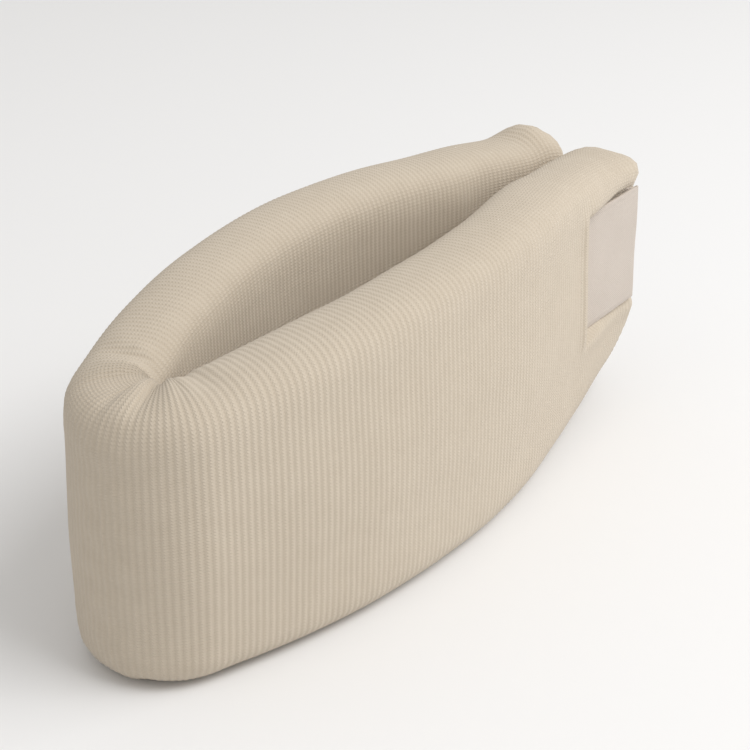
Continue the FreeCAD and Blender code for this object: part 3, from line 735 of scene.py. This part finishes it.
tree, shader, start = finish_for(strap, "woven_nylon_tape")
u, v = flat_place(tree, start, "tape")
warp = (v / WARP * math.pi * 2).sine()
weft = (u / WEFT * math.pi * 2).sine()
weave = warp * weft * 0.5 + 0.5
edge = (v - middle * MM).size().over(0.0189, 0.0193)          # the bound selvedges
place = start.node("ShaderNodeTexCoord", out=3)
patch = start.node("ShaderNodeTexNoise", {"Vector": place, "Scale": 60.0, "Detail": 3.0})
fuzz = start.node("ShaderNodeTexNoise", {"Vector": place, "Scale": 3000.0, "Detail": 2.0})
tone = weave * 0.42 + patch * 0.33 + fuzz * 0.25 - edge * 0.12
drive(tree, shader, tone.tint((0.475, 0.412, 0.357), (0.632, 0.565, 0.503)), 0.72 - weave * 0.14,
      weave * 0.7 + fuzz * 0.3 + edge * 0.5, 0.00016)
shader.inputs["Specular IOR Level"].default_value = 0.3
shader.inputs["Sheen Weight"].default_value = 0.12
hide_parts("hook_strap_base", "hook_strap_tab")
at(SPAN_LINE, -22, middle)
at(SPAN_LINE - 2.2, TAB_LINE, middle)
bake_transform(strap)

strap_thread = lockstitch("hook_strap_thread", SEWN_START, SEWN_START + SEWN_LENGTH, TAPE_LOW,
                          TAPE_HIGH, SEWN_LINE + TAPE / 2 + 0.05)
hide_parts("hook_strap_stitching")
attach(strap_thread, "rear_half")

# ------------------------------------------------------------------ hooks
# Rows of stiff nylon hooks on a thin strip welded to the tab's inner face, 25 by 30. Each hook is a
# short stem that curls over at its tip and catches in the pile.

HOOK_LEFT, HOOK_RIGHT, HOOK_LOW, HOOK_HIGH = 212.0, 237.0, 42.0, 72.0
HOOK_FACE = TAB_LINE + TAPE / 2             # the tab's inner face
HOOK_PITCH = 1.3

hook_base = brick("hook_strip", (HOOK_LEFT, HOOK_FACE - 0.1, HOOK_LOW),
                  (HOOK_RIGHT, HOOK_FACE + 0.25, HOOK_HIGH))
bpy.ops.object.mode_set(mode="EDIT")
edges_like(hook_base, runs_along(1))
bpy.ops.mesh.bevel(offset=0.8 * MM, segments=3)
bpy.ops.object.mode_set(mode="OBJECT")
modified(hook_base, "BEVEL", width=0.08 * MM, segments=2, limit_method="ANGLE",
         angle_limit=math.radians(40))

bpy.ops.object.select_all(action="DESELECT")
bpy.ops.mesh.primitive_cylinder_add(vertices=5, radius=0.1 * MM, depth=0.36 * MM)
hook = bpy.context.object
bpy.ops.object.mode_set(mode="EDIT")
faces_like(hook, lambda middle, normal: normal.z > 0.9)
bpy.ops.mesh.spin(steps=4, angle=math.radians(150), axis=(0, 1, 0),
                  center=(0.19 * MM, 0, 0.18 * MM))
bpy.ops.mesh.select_all(action="SELECT")
bpy.ops.mesh.normals_make_consistent(inside=False)
bpy.ops.object.mode_set(mode="OBJECT")
stand = Matrix.Rotation(-math.pi / 2, 4, "X")
placings = []
for row, z in enumerate(np.arange(HOOK_LOW + 1, HOOK_HIGH - 0.6, HOOK_PITCH)):
    for x in np.arange(HOOK_LEFT + 1, HOOK_RIGHT - 0.6, HOOK_PITCH):
        face_about = Matrix.Rotation(math.pi * (row % 2), 4, "Y")
        placings.append(Matrix.Translation(at(x, HOOK_FACE + 0.4, z)) @ face_about @ stand)
hooks = set_out(hook, "strap_hooks", placings)
for piece, name in ((hook_base, "hook_strip_nylon"), (hooks, "moulded_hooks")):
    tree, shader, start = finish_for(piece, name)
    place = start.node("ShaderNodeTexCoord", out=3)
    cloud = start.node("ShaderNodeTexNoise", {"Vector": place, "Scale": 500.0, "Detail": 3.0})
    drive(tree, shader, cloud.tint((0.60, 0.54, 0.46), (0.78, 0.73, 0.66)), 0.35 + cloud * 0.2,
          cloud, 0.00005)
    shader.inputs["Subsurface Weight"].default_value = 0.15
    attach(piece, "hook_tab")
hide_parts("hook_patch")

# ------------------------------------------------------------------ table, light and camera
# A plain pale table under two large softboxes. One stands to the right and one in front and above,
# so that light reaches into the opening and the chin fold on the left falls into soft shade.

AIM = (0.0, 0.0, 0.045)                     # the lights point at the collar's middle
AZIMUTH, ELEVATION, DISTANCE = math.radians(-56.0), math.radians(25.0), 0.60

bpy.ops.object.select_all(action="DESELECT")
bpy.ops.mesh.primitive_plane_add(size=30, location=(0, 0, 0))
table = bpy.context.object
table.name = "table_top"
paint = bpy.data.materials.new("pale_table")
paint.use_nodes = True
shader = paint.node_tree.nodes["Principled BSDF"]
shader.inputs["Base Color"].default_value = (0.84, 0.84, 0.845, 1)
shader.inputs["Roughness"].default_value = 0.75
table.data.materials.append(paint)

world = bpy.data.worlds.new("studio")
world.use_nodes = True
sky = world.node_tree.nodes["Background"]
sky.inputs["Color"].default_value = (1.0, 0.985, 0.96, 1)
sky.inputs["Strength"].default_value = 0.66
bpy.context.scene.world = world


def softbox(name, place, size, power):
    """A square studio light at that place, turned to the collar."""
    bpy.ops.object.light_add(type="AREA", location=place)
    lamp = bpy.context.object
    lamp.name = name
    lamp.data.size = size
    lamp.data.energy = power
    lamp.rotation_euler = (Vector(AIM) - Vector(place)).to_track_quat("-Z", "Y").to_euler()


softbox("key_softbox", (1.05, -1.05, 0.95), 1.0, 9)
softbox("top_softbox", (0.1, -0.9, 1.3), 0.8, 10)

towards_camera = Vector((
    math.sin(AZIMUTH) * math.cos(ELEVATION),
    -math.cos(AZIMUTH) * math.cos(ELEVATION),
    math.sin(ELEVATION),
))
bpy.ops.object.camera_add()
camera = bpy.context.object
camera.location = Vector((0.0, 0.0, 0.044)) + towards_camera * DISTANCE
camera.rotation_euler = (-towards_camera).to_track_quat("-Z", "Y").to_euler()
camera.data.lens = 92
camera.data.clip_start, camera.data.clip_end = 0.01, 60
bpy.context.scene.camera = camera

bpy.context.scene.view_settings.view_transform = "Standard"
